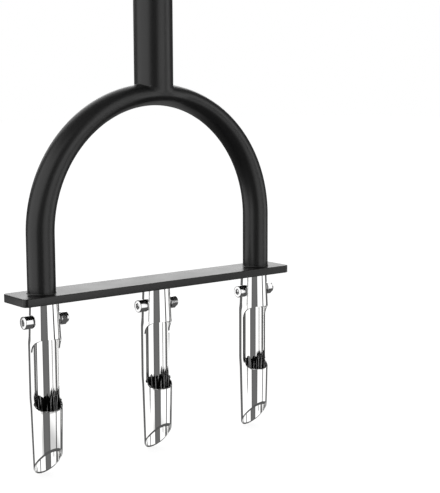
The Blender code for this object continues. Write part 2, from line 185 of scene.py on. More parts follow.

# The painted shade lies in the bore up to a ragged edge, and on the lip, which is the cut at the window's
# floor.
off_axis = calc("WRAP", axes["X"], TINE_PITCH / 2, -TINE_PITCH / 2)
radius = calc("SQRT", squares(off_axis, axes["Y"]))
uneven = calc("SUBTRACT", noise(BORE_SHADE_FREQUENCY, detail=2.0, stretch=BORE_SHADE_STRETCH), NOISE_MIDDLE)
bore_top = calc("MULTIPLY_ADD", uneven, BORE_SHADE_RAGGED, BORE_SHADE_TOP)
below_top = between(calc("SUBTRACT", axes["Z"], bore_top), -BORE_SHADE_TOP_EASE, BORE_SHADE_TOP_EASE, 1.0, 0.0)
mid_wall = calc("MULTIPLY_ADD", axes["Z"], BORE_SHADE_SLOPE, BORE_SHADE_RADIUS)
in_bore = all_of(calc("LESS_THAN", radius, mid_wall), below_top)
lip_top = calc("MULTIPLY_ADD", uneven, BORE_SHADE_RAGGED, LIP_SHADE_TOP)
lip_radius = calc("MULTIPLY_ADD", uneven, LIP_SHADE_RAGGED, LIP_SHADE_RADIUS)
behind_front = calc("DIVIDE", calc("ADD", axes["Y"], WINDOW_RADIUS), WINDOW_RADIUS + WINDOW_FLOOR)
below_edge = calc("DIVIDE", calc("SUBTRACT", WINDOW_LOW, axes["Z"]), WINDOW_FLOOR_DROP)
off_floor = calc("ABSOLUTE", calc("SUBTRACT", squares(behind_front, below_edge), 1.0))
on_lip = all_of(
    calc("LESS_THAN", off_floor, LIP_NEARNESS), calc("LESS_THAN", radius, lip_radius),
    calc("LESS_THAN", axes["Z"], lip_top))
above_bottom = between(axes["Z"], BORE_SHADE_BOTTOM, BORE_SHADE_BOTTOM + BORE_SHADE_BOTTOM_FADE, 0.0, 1.0)
painted_shade = all_of(calc("MAXIMUM", in_bore, on_lip), above_bottom)

# The painted shade is a dull black with a few painted streaks of reflected light; everything else is
# polished.
streak_noise = noise(PAINTED_STREAK_FREQUENCY, detail=1.0, stretch=PAINTED_STREAK_STRETCH)
painted_streaks = between(streak_noise, *PAINTED_STREAK_RANGE, 0.0, 1.0)
marks = noise(MARK_FREQUENCY, detail=3.0, stretch=MARK_STRETCH)
gloss = between(marks, *MARK_RANGE, *POLISH_ROUGHNESS, kind="LINEAR")
streaked_shade = shader_node(tree, "ShaderNodeMix", {
    0: painted_streaks, 6: (*BORE_SHADE_COLOUR, 1.0), 7: (*PAINTED_STREAK_COLOUR, 1.0)}, data_type="RGBA")
colour = shader_node(tree, "ShaderNodeMix", {
    0: painted_shade, 6: (*POLISH_COLOUR, 1.0), 7: streaked_shade.outputs[2]}, data_type="RGBA")
tree.links.new(calc("MULTIPLY_ADD", painted_shade, BORE_SHADE_ROUGHNESS, gloss), shader.inputs["Roughness"])
tree.links.new(calc("SUBTRACT", 1.0, painted_shade), shader.inputs["Metallic"])
tree.links.new(colour.outputs[2], shader.inputs["Base Color"])


def ring_grid(radius, height, angle):
    """Grid of points round the Z axis, at the radius times the angle's cosine and sine: one row for each
    height, one column for each angle."""
    radius, height, angle = np.broadcast_arrays(radius, height, angle)
    return np.stack([radius * np.cos(angle), radius * np.sin(angle), height], axis=-1)


def wrapped_quads(rows, columns, closed=False):
    """Faces between neighbouring rows of a grid whose columns close round. Where closed is set, the last row
    is joined to the first as well."""
    low = np.arange(rows if closed else rows - 1)[:, None]
    high = (low + 1) % rows
    here = np.arange(columns)[None, :]
    after = (here + 1) % columns
    corners = [low * columns + here, low * columns + after, high * columns + after, high * columns + here]
    return np.stack(corners, axis=-1).reshape(-1, 4)


def laid_along_x(points, facing, x, z):
    """Turns points made about Z so that their top faces +X or -X: x grows by facing times their height, and
    z falls by facing times their old x."""
    return np.stack([x + facing * points[..., 2], points[..., 1], z - facing * points[..., 0]], axis=-1)


def welded_mesh(name, points, faces):
    """A mesh from whole arrays of points and faces, with its seams and poles closed."""
    mesh = bpy.data.meshes.new(name)
    mesh.from_pydata(np.reshape(points, (-1, 3)).tolist(), [], [list(map(int, face)) for face in faces])
    bm = bmesh.new()
    bm.from_mesh(mesh)
    bmesh.ops.remove_doubles(bm, verts=bm.verts, dist=SEAM_GAP)
    bmesh.ops.delete(bm, geom=[v for v in bm.verts if not v.link_faces], context="VERTS")
    bm.to_mesh(mesh)
    bm.free()
    return mesh


def make_piece(name, points, faces, material, nodes, sharp=35.0):
    """One smooth piece that rides on the root. Edges that turn by more than sharp degrees stay sharp."""
    mesh = welded_mesh(name, points, faces)
    mesh.materials.append(material)
    mesh.shade_smooth()
    mesh.set_sharp_from_angle(angle=math.radians(sharp))
    piece = bpy.data.objects.new(name, mesh)
    bpy.context.scene.collection.objects.link(piece)
    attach(piece, "root")
    if nodes:
        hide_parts(*nodes)
    return piece


def drill(piece, radius, places, sharp=35.0):
    """Bores holes along X through a piece, one at each (x, z) place. The Boolean is applied to its mesh."""
    angle = np.linspace(0.0, 2 * math.pi, DRILL_COLUMNS, endpoint=False)
    bit_radius = radius * np.array([0.0, 1.0, 1.0, 0.0])[:, None]
    bit_reach = DRILL_REACH * np.array([-1.0, -1.0, 1.0, 1.0])[:, None]
    bit = ring_grid(bit_radius, bit_reach, angle)
    for x, z in places:
        mesh = welded_mesh("drill", laid_along_x(bit, 1, x, z), wrapped_quads(len(bit), DRILL_COLUMNS))
        cutter = bpy.data.objects.new("drill", mesh)
        bpy.context.scene.collection.objects.link(cutter)
        cut = piece.modifiers.new("hole", "BOOLEAN")
        cut.object = cutter
        cut.operation = "DIFFERENCE"
        cut.solver = "EXACT"
        bored = bpy.data.meshes.new_from_object(piece.evaluated_get(bpy.context.evaluated_depsgraph_get()))
        piece.modifiers.clear()
        piece.data = bored
        bpy.data.objects.remove(cutter)
    piece.data.shade_smooth()
    piece.data.set_sharp_from_angle(angle=math.radians(sharp))


def eased(share):
    """Smooth step from 0 to 1: 3 s squared less 2 s cubed."""
    share = np.clip(share, 0.0, 1.0)
    return share * share * (3.0 - 2.0 * share)


def tine_radius(height):
    """Outer radius at each height: a sleeve that widens from the tip, a flare to the window, and above the
    window's roof an eased draw-in to the collar, which tapers to the plate."""
    flare_foot = WINDOW_LOW - SLEEVE_FLARE_LENGTH
    slope = (SLEEVE_RADIUS - TIP_RADIUS) / flare_foot
    sleeve = TIP_RADIUS + slope * np.clip(height, 0.0, WINDOW_LOW)
    spread = WINDOW_RADIUS - TIP_RADIUS - slope * WINDOW_LOW
    window = sleeve + spread * eased((height - flare_foot) / SLEEVE_FLARE_LENGTH)
    collar_foot = COLLAR_RADIUS + (WINDOW_RADIUS - COLLAR_RADIUS) * COLLAR_TAPER_SHARE
    drawn_in = (WINDOW_RADIUS - collar_foot) * eased((height - WINDOW_HIGH - FLARE_START) / FLARE_LENGTH)
    taper_start = WINDOW_HIGH + FLARE_START + FLARE_LENGTH
    tapered = np.clip((height - taper_start) / (TINE_TOP - taper_start), 0.0, 1.0)
    return window - drawn_in - (collar_foot - COLLAR_RADIUS) * tapered


def tine_bore(height):
    """Inner radius at each height: the outer radius less the wall, which is even, thicker where the collar
    is drawn in, and thinner at the sharpened tip."""
    drawn_in = eased((height - WINDOW_HIGH - FLARE_START) / FLARE_LENGTH)
    wall = TINE_WALL + (COLLAR_WALL - TINE_WALL) * drawn_in
    sharpened = np.clip(height / SHARPENED_LENGTH, 0.0, 1.0)
    return tine_radius(height) - CUTTING_EDGE - (wall - CUTTING_EDGE) * sharpened


def cut_height(angle, radius_at, height_at):
    """Height where each column meets a cut. Radius and height depend on each other, and settle in turn."""
    height = height_at(WINDOW_RADIUS * np.sin(angle))
    for _ in range(CUT_ROUNDS):
        height = height_at(radius_at(height) * np.sin(angle))
    return height


def tip_cut(y):
    """The ground tip: a slant that rises from the back to the front, the bevel's height times the share of
    the tip's width that y is from the back."""
    return (TIP_RADIUS - y) / (2 * TIP_RADIUS) * TIP_BEVEL_HEIGHT


def rounded_end(y):
    """Share of a window end's height at y, a quarter of an ellipse: the root of 1 less the square of how far
    y is on the way from the front to the window's upright edges."""
    behind_front = np.clip((y + WINDOW_RADIUS) / (WINDOW_RADIUS + WINDOW_FLOOR), 0.0, 1.0)
    return np.sqrt(1.0 - behind_front ** 2)


def window_floor_cut(y):
    """Lower end of the window: its upright edges' foot less the drop times the rounded end's share."""
    return WINDOW_LOW - WINDOW_FLOOR_DROP * rounded_end(y)


def window_roof_cut(y):
    """Upper end of the window: its upright edges' top plus the rise times the rounded end's share."""
    return WINDOW_HIGH + WINDOW_ROOF_RISE * rounded_end(y)


def rows_above(low, high, count):
    """Rows of heights that go from just above low up to high in even steps."""
    return low + (high - low) * np.linspace(0.0, 1.0, count + 1)[1:, None]


def tine_skin(radius_at, edge_radius, tip_break):
    """One skin of a tine. Its columns are at even angles behind the window and crowd towards the upright
    edges in front, and its rows run from cut to cut. The grinder breaks the outer edge of the tip: the
    radius is less by a share that falls to nothing above the cut."""
    edge = math.asin(-WINDOW_FLOOR / edge_radius)
    back = np.linspace(-edge, math.pi + edge, BACK_COLUMNS + 1)
    even = np.linspace(0.0, 1.0, FRONT_COLUMNS + 1)[1:-1]
    crowded = even + FRONT_CROWDING * ((1.0 - np.cos(math.pi * even)) / 2 - even)
    front = math.pi + edge + (math.pi - 2 * edge) * crowded
    angle = np.concatenate([back, front])
    tip = cut_height(angle, radius_at, tip_cut)
    floor = cut_height(angle, radius_at, window_floor_cut)
    roof = cut_height(angle, radius_at, window_roof_cut)
    broken = rows_above(tip, tip + TIP_BREAK_HEIGHT, TIP_BREAK_ROWS)
    sleeve = rows_above(broken[-1], floor, SLEEVE_ROWS - TIP_BREAK_ROWS)
    window = rows_above(floor, roof, WINDOW_ROWS)
    collar = rows_above(roof, TINE_TOP, COLLAR_ROWS)
    height = np.concatenate([tip[None], broken, sleeve, window, collar])
    ground_off = tip_break * np.clip(1.0 - (height - tip) / TIP_BREAK_HEIGHT, 0.0, 1.0)
    return ring_grid(radius_at(height) - ground_off, height, angle)


def tine_faces(columns, rows):
    """Faces of both skins without the window's front, and of the rims that join the skins."""
    floor_row, roof_row = SLEEVE_ROWS, SLEEVE_ROWS + WINDOW_ROWS
    inside = rows * columns
    skin = wrapped_quads(rows, columns).reshape(rows - 1, columns, 4)
    open_front = np.zeros((rows - 1, columns), bool)
    open_front[floor_row:roof_row, BACK_COLUMNS:] = True
    outer = skin[~open_front]
    inner = outer[:, ::-1] + inside
    column = np.arange(columns)
    after = (column + 1) % columns
    window = column[BACK_COLUMNS:]

    def rim(row, chosen, facing_up):
        """Faces across the wall along one row, from the outer skin to the inner one."""
        here, there = row * columns + chosen, row * columns + after[chosen]
        quads = np.stack([here, there, there + inside, here + inside], axis=-1)
        return quads if facing_up else quads[:, ::-1]

    upright = np.arange(floor_row, roof_row)
    right = upright * columns
    left = upright * columns + BACK_COLUMNS
    right_edge = np.stack([right, right + columns, right + columns + inside, right + inside], axis=-1)
    left_edge = np.stack([left, left + inside, left + columns + inside, left + columns], axis=-1)
    return np.concatenate([
        outer, inner, rim(0, column, False), rim(rows - 1, column, True), rim(floor_row, window, True),
        rim(roof_row, window, False), right_edge, left_edge])


tine_outer = tine_skin(tine_radius, WINDOW_RADIUS, TIP_BREAK)
tine_inner = tine_skin(tine_bore, WINDOW_RADIUS - TINE_WALL, 0.0)
tine_grid = np.stack([tine_outer, tine_inner])
for side in TINE_SIDES:
    low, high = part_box(f"{side}_tine")
    bolt_low, bolt_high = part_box(f"{side}_tine_bolt")
    x = (low.x + high.x) / 2
    tine = make_piece(
        f"{side}_coring_tine", tine_grid + np.array([x, 0.0, 0.0]),
        tine_faces(tine_outer.shape[1], tine_outer.shape[0]), polish, [f"{side}_tine"])
    drill(tine, TINE_HOLE_RADIUS, [(x, (bolt_low.z + bolt_high.z) / 2)])

# Foot plate: a flat steel bar with rounded corners, on which the boot presses. The tine spigots are welded
# under it and the bow on top. All of the frame is powder coated black after welding: a slightly grained
# semi-gloss coat that rounds over the edges.
PLATE_CORNER = 0.0030
PLATE_EDGE = 0.0004
PLATE_FLAT_MARGIN = 0.0003
CORNER_COLUMNS = 14
EDGE_ROWS = 5
COAT_COLOUR = (0.0038, 0.0038, 0.0039)
COAT_PLAIN_ROUGHNESS = 0.40
COAT_ROUGHNESS = (0.32, 0.36)
COAT_IOR = 1.55
COAT_PATCH_FREQUENCY = 55.0
COAT_GRAIN_FREQUENCY = 900.0
COAT_GRAIN_STRENGTH = 0.10
GRAIN_DEPTH = 0.0002
NOISE_RANGE = (0.3, 0.7)

coat, tree, shader, place = finish_material("black_powder_coat", COAT_COLOUR, 0.0, COAT_PLAIN_ROUGHNESS)
shader.inputs["IOR"].default_value = COAT_IOR
cured = noise(COAT_PATCH_FREQUENCY, detail=2.0)
sheen = between(cured, *NOISE_RANGE, *COAT_ROUGHNESS, kind="LINEAR")
tree.links.new(sheen, shader.inputs["Roughness"])
orange_peel = noise(COAT_GRAIN_FREQUENCY, detail=2.0)
grain = shader_node(tree, "ShaderNodeBump", {
    "Height": orange_peel, "Strength": COAT_GRAIN_STRENGTH, "Distance": GRAIN_DEPTH})
tree.links.new(grain.outputs["Normal"], shader.inputs["Normal"])

plate_low, plate_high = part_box("foot_plate")


def plate_points():
    """The broken edges carried round the bar's outline: each point is its corner's centre, plus the corner's
    radius less the row's inset, times the direction from that centre."""
    turn = np.linspace(0.0, math.pi / 2, CORNER_COLUMNS)
    quarter = np.arange(4)[:, None] * math.pi / 2
    direction = (quarter + turn).reshape(-1)
    corner = np.repeat(quarter + math.pi / 4, CORNER_COLUMNS)
    centre_x = np.sign(np.cos(corner)) * (plate_high.x - PLATE_CORNER)
    centre_y = np.sign(np.sin(corner)) * (plate_high.y - PLATE_CORNER)
    round_over = np.linspace(0.0, math.pi / 2, EDGE_ROWS)
    inset = PLATE_EDGE * (1.0 - np.sin(round_over))
    rise = PLATE_EDGE * (1.0 - np.cos(round_over))
    flat = np.array([PLATE_EDGE + PLATE_FLAT_MARGIN])
    insets = np.concatenate([flat, inset, inset[::-1], flat])[:, None]
    heights = np.concatenate([
        [plate_low.z], plate_low.z + rise, plate_high.z - rise[::-1], [plate_high.z]])[:, None]
    x = centre_x + (PLATE_CORNER - insets) * np.cos(direction)
    y = centre_y + (PLATE_CORNER - insets) * np.sin(direction)
    return np.stack(np.broadcast_arrays(x, y, heights), axis=-1)


points = plate_points()
rows, columns = points.shape[:2]
lid = (rows - 1) * columns + np.arange(columns)
plate_faces = [*wrapped_quads(rows, columns), np.arange(columns)[::-1], lid]
make_piece("foot_plate_bar", points, plate_faces, coat, ["foot_plate"])
for side in TINE_SIDES:
    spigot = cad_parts[f"{side}_tine_spigot"]
    spigot.data.materials.clear()
    spigot.data.materials.append(coat)

# Bow: one steel tube bent to an arch and welded upright on the foot plate. The bend flattens it towards the
# crown, where its section is an oval lying on its side.
BOW_WALL = 0.0016
BOW_CROWN_THICKNESS = 0.0127
CROWN_HALF_WIDTH = 0.0114
CROWN_SPREAD_REACH = 0.27
CROWN_SPREAD_FLAT = 0.02
ARCH_ROWS = 160
BOW_COLUMNS = 64
FOOT_BEAD = 0.0009
WELD_COLUMNS = 96
WELD_ROWS = 7
WELD_HOLLOW = 0.30
WELD_SINK = 0.00005
WELD_ROOT_SINK = 0.0004
WELD_ROOT_LAP = 0.0001
bow_low, bow_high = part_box("bow_tube")
CROWN_TOP = bow_high.z
OUTER_ARCH_RADIUS = bow_high.x
BOW_TUBE_RADIUS = 0.0079
INNER_ARCH_RADIUS = OUTER_ARCH_RADIUS - 2 * BOW_TUBE_RADIUS
LEG_X = OUTER_ARCH_RADIUS - BOW_TUBE_RADIUS
SPRING_HEIGHT = CROWN_TOP - BOW_CROWN_THICKNESS - INNER_ARCH_RADIUS
OUTER_RISE = CROWN_TOP - SPRING_HEIGHT
MIDDLE_RADIUS = (OUTER_ARCH_RADIUS + INNER_ARCH_RADIUS) / 2
MIDDLE_RISE = (OUTER_RISE + INNER_ARCH_RADIUS) / 2
HALF_THICK_ACROSS = (OUTER_ARCH_RADIUS - INNER_ARCH_RADIUS) / 2
HALF_THICK_UP = (OUTER_RISE - INNER_ARCH_RADIUS) / 2


def pressed_wide(wide, off_crown):
    """Half the width across the arch: the crown is pressed wider under the pole, and the step eases back as
    the angle off the crown grows."""
    pressed = eased((CROWN_SPREAD_REACH - np.abs(off_crown)) / (CROWN_SPREAD_REACH - CROWN_SPREAD_FLAT))
    return wide + (CROWN_HALF_WIDTH - wide) * pressed


def bow_skin(shrink):
    """Ovals along the arch. The inner side is a half circle, the outer side a half ellipse, and each oval
    spreads across the arch so that the mean square of its half axes stays that of the round tube. Under the
    pole the crown is pressed wider still, to the pole's width."""
    arch = np.linspace(0.0, math.pi, ARCH_ROWS + 1)
    centre_x = MIDDLE_RADIUS * np.cos(arch)
    centre_z = SPRING_HEIGHT + MIDDLE_RISE * np.sin(arch)
    half_x = HALF_THICK_ACROSS * np.cos(arch)
    half_z = HALF_THICK_UP * np.sin(arch)
    foot = bow_low.z
    centre_x = np.concatenate([[LEG_X], centre_x, [-LEG_X]])
    centre_z = np.concatenate([[foot], centre_z, [foot]])
    half_x = np.concatenate([[BOW_TUBE_RADIUS], half_x, [-BOW_TUBE_RADIUS]])
    half_z = np.concatenate([[0.0], half_z, [0.0]])
    thin = np.hypot(half_x, half_z)
    wide = np.sqrt(2 * BOW_TUBE_RADIUS ** 2 - thin ** 2)
    wide = pressed_wide(wide, np.concatenate([[0.0], arch, [math.pi]]) - math.pi / 2)
    around = np.linspace(0.0, 2 * math.pi, BOW_COLUMNS, endpoint=False)
    reach = ((thin - shrink) / thin)[:, None] * np.cos(around)
    x = centre_x[:, None] + half_x[:, None] * reach
    y = (wide[:, None] - shrink) * np.sin(around)
    z = centre_z[:, None] + half_z[:, None] * reach
    return np.stack([x, y, z], axis=-1)


def tube_faces(rows, columns):
    """Faces of an outer and an inner skin and of the rings that join them at both ends."""
    outer = wrapped_quads(rows, columns)
    inside = rows * columns
    column = np.arange(columns)
    after = (column + 1) % columns
    first = np.stack([column, column + inside, after + inside, after], axis=-1)
    end = inside - columns
    last = np.stack([end + column, end + after, end + after + inside, end + column + inside], axis=-1)
    return np.concatenate([outer, outer[:, ::-1] + inside, first, last])


bow_points = np.stack([bow_skin(0.0), bow_skin(BOW_WALL)])
bow_faces = tube_faces(bow_points.shape[1], BOW_COLUMNS)
make_piece("bent_bow_tube", bow_points, bow_faces, coat, ["bow_tube"])


def crown_skin(x, share):
    """Height of the bow's skin near its crown, on the ellipse whose half axes are the arch's middle radius
    and rise plus share times the half thickness. share is the cosine of the angle round the tube's top."""
    reach_x = MIDDLE_RADIUS + HALF_THICK_ACROSS * share
    reach_z = MIDDLE_RISE + HALF_THICK_UP * share
    return SPRING_HEIGHT + reach_z * np.sqrt(1.0 - (x / reach_x) ** 2)


def crown_wide(x):
    """Half the bow's width across the arch at x, near its crown: the flattened tube's, pressed wider."""
    plain = math.sqrt(2 * BOW_TUBE_RADIUS ** 2 - (BOW_CROWN_THICKNESS / 2) ** 2)
    return pressed_wide(plain, np.arcsin(x / MIDDLE_RADIUS))


def hollow_of(upper, lower, root):
    """The row that a fillet weld's face is drawn towards, which makes it slightly hollow: a share of the way
    from the root to the middle of its two edges."""
    return root + WELD_HOLLOW * ((upper + lower) / 2 - root)


def bead(name, upper, lower, root, middle):
    """Weld between two rows of points: each column is the quadratic curve from lower to upper that is drawn
    towards middle, and the root closes it behind."""
    blend = np.linspace(0.0, 1.0, WELD_ROWS)[:, None, None]
    face = (1 - blend) ** 2 * lower + 2 * blend * (1 - blend) * middle + blend ** 2 * upper
    ring = np.concatenate([face, root[None]])
    rows, columns = ring.shape[:2]
    return make_piece(name, ring, wrapped_quads(rows, columns, closed=True), coat, [])


weld_angle = np.linspace(0.0, 2 * math.pi, WELD_COLUMNS, endpoint=False)
for side, x in (("left", -LEG_X), ("right", LEG_X)):
    upright = ring_grid(BOW_TUBE_RADIUS - WELD_SINK, bow_low.z + FOOT_BEAD, weld_angle)
    spread = ring_grid(BOW_TUBE_RADIUS + FOOT_BEAD, plate_high.z - WELD_SINK, weld_angle)
    corner = ring_grid(BOW_TUBE_RADIUS - WELD_ROOT_SINK, plate_high.z - WELD_SINK, weld_angle)
    middle = hollow_of(upright, spread, corner)
    place_at = np.array([x, 0.0, 0.0])
    bead(f"{side}_leg_weld", upright + place_at, spread + place_at, corner + place_at, middle + place_at)

# Pole: three lengths of steel tube. The middle one has both ends swaged down to slip into its neighbours.
# The lower one is coped over the crown of the bow and welded to it, the upper one is coped under the
# crossbar, and the two joints are pinned by cross bolts.
POLE_WALL = 0.0016
POLE_EDGE = 0.0006
POLE_CLEARANCE = 0.0003
POLE_FOOT_LAP = 0.0042
SOCKET_DEPTH = 0.0600
SWAGE_LENGTH = 0.0050
POLE_HOLE_RADIUS = 0.0028
POLE_COLUMNS = 96
POLE_FOOT_BEAD = 0.0013
JOINTS = ("upper_joint", "lower_joint")
JOINT_BOLTS = ("upper", "lower")
lower_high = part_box("lower_pole")[1]
middle_low, middle_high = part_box("middle_pole")
upper_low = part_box("upper_pole")[0]
bar_low, bar_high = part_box("handle_crossbar")
POLE_RADIUS = lower_high.x
HANDLE_HEIGHT = (bar_low.z + bar_high.z) / 2
BAR_RADIUS = (bar_high.z - bar_low.z) / 2
pole_angle = np.linspace(0.0, 2 * math.pi, POLE_COLUMNS, endpoint=False)


def coped_foot(radius):
    """Height of the lower pole's foot round one skin: the bow's skin under it plus a clearance, and no lower
    than the lap. share is the cosine whose sine is y's share of the bow's half width."""
    across = radius * np.sin(pole_angle) / crown_wide(radius * np.cos(pole_angle))
    share = np.sqrt(np.clip(1.0 - across ** 2, 0.0, 1.0))
    over_bow = crown_skin(radius * np.cos(pole_angle), share) + POLE_CLEARANCE
    return np.maximum(over_bow, CROWN_TOP - POLE_FOOT_LAP)


def coped_top(radius):
    """Height of the upper pole's top round one skin, under the crossbar: the bar's axis less the root of its
    radius with the clearance squared less y squared."""
    return HANDLE_HEIGHT - np.sqrt((BAR_RADIUS + POLE_CLEARANCE) ** 2 - (radius * np.sin(pole_angle)) ** 2)


def closed_tube(name, rows, nodes):
    """A tube from rows of (radius, height) that run up its outer skin and down its bore, turned about Z."""
    grid = np.stack([ring_grid(radius, height, pole_angle) for radius, height in rows])
    faces = wrapped_quads(len(rows), POLE_COLUMNS, closed=True)
    return make_piece(name, grid, faces, coat, nodes)


def joint_places(joint):
    """The (x, z) places of the two bolts of one joint."""
    boxes = [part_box(f"{joint}_{bolt}_bolt") for bolt in JOINT_BOLTS]
    return [(0.0, (low.z + high.z) / 2) for low, high in boxes]


bore = POLE_RADIUS - POLE_WALL
spigot = bore - POLE_CLEARANCE
spigot_bore = spigot - POLE_WALL
shoulder_low = middle_low.z + SOCKET_DEPTH
shoulder_high = middle_high.z - SOCKET_DEPTH
lower_tube = closed_tube("lower_pole_tube", [
    (POLE_RADIUS, coped_foot(POLE_RADIUS)),
    (POLE_RADIUS, lower_high.z - POLE_EDGE),
    (POLE_RADIUS - POLE_EDGE, lower_high.z),
    (bore, lower_high.z),
    (bore, coped_foot(bore))], ["lower_pole"])
middle_tube = closed_tube("middle_pole_tube", [
    (spigot - POLE_EDGE, middle_low.z),
    (spigot, middle_low.z + POLE_EDGE),
    (spigot, shoulder_low),
    (POLE_RADIUS - POLE_EDGE, shoulder_low),
    (POLE_RADIUS, shoulder_low + POLE_EDGE),
    (POLE_RADIUS, shoulder_high - POLE_EDGE),
    (POLE_RADIUS - POLE_EDGE, shoulder_high),
    (spigot, shoulder_high),
    (spigot, middle_high.z - POLE_EDGE),
    (spigot - POLE_EDGE, middle_high.z),
    (spigot_bore, middle_high.z),
    (spigot_bore, shoulder_high),
    (bore, shoulder_high - SWAGE_LENGTH),
    (bore, shoulder_low + SWAGE_LENGTH),
    (spigot_bore, shoulder_low),
    (spigot_bore, middle_low.z)], ["middle_pole"])
upper_tube = closed_tube("upper_pole_tube", [
    (POLE_RADIUS - POLE_EDGE, upper_low.z),
    (POLE_RADIUS, upper_low.z + POLE_EDGE),
    (POLE_RADIUS, coped_top(POLE_RADIUS)),
    (bore, coped_top(bore)),
    (bore, upper_low.z)], ["upper_pole"])
drill(lower_tube, POLE_HOLE_RADIUS, joint_places("lower_joint"))
drill(upper_tube, POLE_HOLE_RADIUS, joint_places("upper_joint"))
drill(middle_tube, POLE_HOLE_RADIUS, joint_places("lower_joint") + joint_places("upper_joint"))

# The weld at the pole's foot follows the cope, from the pole's skin down to the bow's. It is a fillet at the
# sides. In front and behind the crown is as wide as the pole, and there the weld is ground flush with both.
POLE_FOOT_REACH = 0.0013
WELD_LEAVES_TOP = 0.85
WELD_LOWEST_TURN = math.radians(82.0)
WELD_FLUSH_START = 0.60
WELD_FLUSH_LENGTH = 0.35
foot_reach = POLE_RADIUS + POLE_FOOT_REACH
foot_x = foot_reach * np.cos(weld_angle)
across = foot_reach * np.abs(np.sin(weld_angle)) / crown_wide(foot_x)
leaving = math.asin(WELD_LEAVES_TOP)
past = (across - WELD_LEAVES_TOP) / (foot_reach / CROWN_HALF_WIDTH - WELD_LEAVES_TOP)
on_top = np.arcsin(np.minimum(across, WELD_LEAVES_TOP))
turn = np.where(past < 0.0, on_top, leaving + (WELD_LOWEST_TURN - leaving) * past)
foot_y = np.sign(np.sin(weld_angle)) * crown_wide(foot_x) * np.sin(turn)
on_pole = ring_grid(POLE_RADIUS - WELD_SINK, coped_foot(POLE_RADIUS) + POLE_FOOT_BEAD, weld_angle)
on_bow = np.stack([foot_x, foot_y, crown_skin(foot_x, np.cos(turn)) - WELD_SINK], axis=-1)
root = ring_grid(bore, coped_foot(POLE_RADIUS) - WELD_ROOT_LAP, weld_angle)
flush = eased((across - WELD_FLUSH_START) / WELD_FLUSH_LENGTH)[:, None]
middle = hollow_of(on_pole, on_bow, root) * (1 - flush) + (on_pole + on_bow) / 2 * flush
bead("pole_foot_weld", on_pole, on_bow, root, middle)

# Crossbar: a steel tube across the top of the pole, bare for a short stretch between the grips, with a
# fillet weld where the pole meets it.
BAR_WALL = 0.0016
BAR_BEAD = 0.0012
bar_rows = [
    (BAR_RADIUS, bar_low.x), (BAR_RADIUS, bar_high.x),
    (BAR_RADIUS - BAR_WALL, bar_high.x), (BAR_RADIUS - BAR_WALL, bar_low.x)]
bar_grid = np.stack([ring_grid(radius, height, pole_angle) for radius, height in bar_rows])
bar_faces = wrapped_quads(len(bar_rows), POLE_COLUMNS, closed=True)
bar_points = laid_along_x(bar_grid, 1, 0.0, HANDLE_HEIGHT)
make_piece("handle_bar_tube", bar_points, bar_faces, coat, ["handle_crossbar"])
bar_reach = POLE_RADIUS + BAR_BEAD
bar_y = bar_reach * np.sin(weld_angle)
bar_underside = HANDLE_HEIGHT - np.sqrt(BAR_RADIUS ** 2 - bar_y ** 2)
on_bar = np.stack([bar_reach * np.cos(weld_angle), bar_y, bar_underside + WELD_SINK], axis=-1)
on_pole = ring_grid(POLE_RADIUS - WELD_SINK, coped_top(POLE_RADIUS) - BAR_BEAD, weld_angle)
root = ring_grid(POLE_RADIUS - WELD_ROOT_SINK, coped_top(POLE_RADIUS) + WELD_ROOT_LAP, weld_angle)
bead("crossbar_weld", on_bar, on_pole, root, hollow_of(on_bar, on_pole, root))

# Grips: two moulded rubber sleeves with closed ends, pushed on over the crossbar. They are matte black with
# a fine moulded grain, and their inner ends taper down to the bar.
GRIP_CLEARANCE = 0.0003
GRIP_BORE = BAR_RADIUS + GRIP_CLEARANCE
GRIP_LIP = 0.0006
GRIP_TAPER_LENGTH = 0.0093
GRIP_END_ROUND = 0.0014
GRIP_END_ROWS = 9
RUBBER_COLOUR = (0.012, 0.012, 0.012)
RUBBER_PLAIN_ROUGHNESS = 0.62
RUBBER_ROUGHNESS = (0.56, 0.68)
RUBBER_PATCH_FREQUENCY = 70.0
RUBBER_GRAIN_FREQUENCY = 1400.0
RUBBER_GRAIN_STRENGTH = 0.25
rubber, tree, shader, place = finish_material(
    "black_rubber_grip", RUBBER_COLOUR, 0.0, RUBBER_PLAIN_ROUGHNESS)
handled = noise(RUBBER_PATCH_FREQUENCY, detail=3.0)
dullness = between(handled, *NOISE_RANGE, *RUBBER_ROUGHNESS, kind="LINEAR")
tree.links.new(dullness, shader.inputs["Roughness"])
moulded = shader_node(tree, "ShaderNodeTexVoronoi", {"Vector": place, "Scale": RUBBER_GRAIN_FREQUENCY})
pebbled = shader_node(tree, "ShaderNodeBump", {
    "Height": moulded.outputs["Distance"], "Strength": RUBBER_GRAIN_STRENGTH, "Distance": GRAIN_DEPTH})
tree.links.new(pebbled.outputs["Normal"], shader.inputs["Normal"])
for side, facing in (("left", -1), ("right", 1)):
    low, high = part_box(f"{side}_grip")
    radius = (high.z - low.z) / 2
    inner_end, outer_end = sorted((abs(low.x), abs(high.x)))
    bar_end = bar_high.x + GRIP_CLEARANCE
    around = np.linspace(0.0, math.pi / 2, GRIP_END_ROWS)
    corner_radius = radius - GRIP_END_ROUND * (1 - np.cos(around))
    corner_height = outer_end - GRIP_END_ROUND * (1 - np.sin(around))
    grip_rows = [
        (0.0, bar_end), (GRIP_BORE, bar_end), (GRIP_BORE, inner_end), (GRIP_BORE + GRIP_LIP, inner_end),
        (radius, inner_end + GRIP_TAPER_LENGTH), *zip(corner_radius, corner_height), (0.0, outer_end)]
    grid = np.stack([ring_grid(r, h, pole_angle) for r, h in grip_rows])
    make_piece(
        f"{side}_rubber_grip", laid_along_x(grid, facing, 0.0, HANDLE_HEIGHT),
        wrapped_quads(len(grip_rows), POLE_COLUMNS), rubber, [f"{side}_grip"], sharp=25.0)

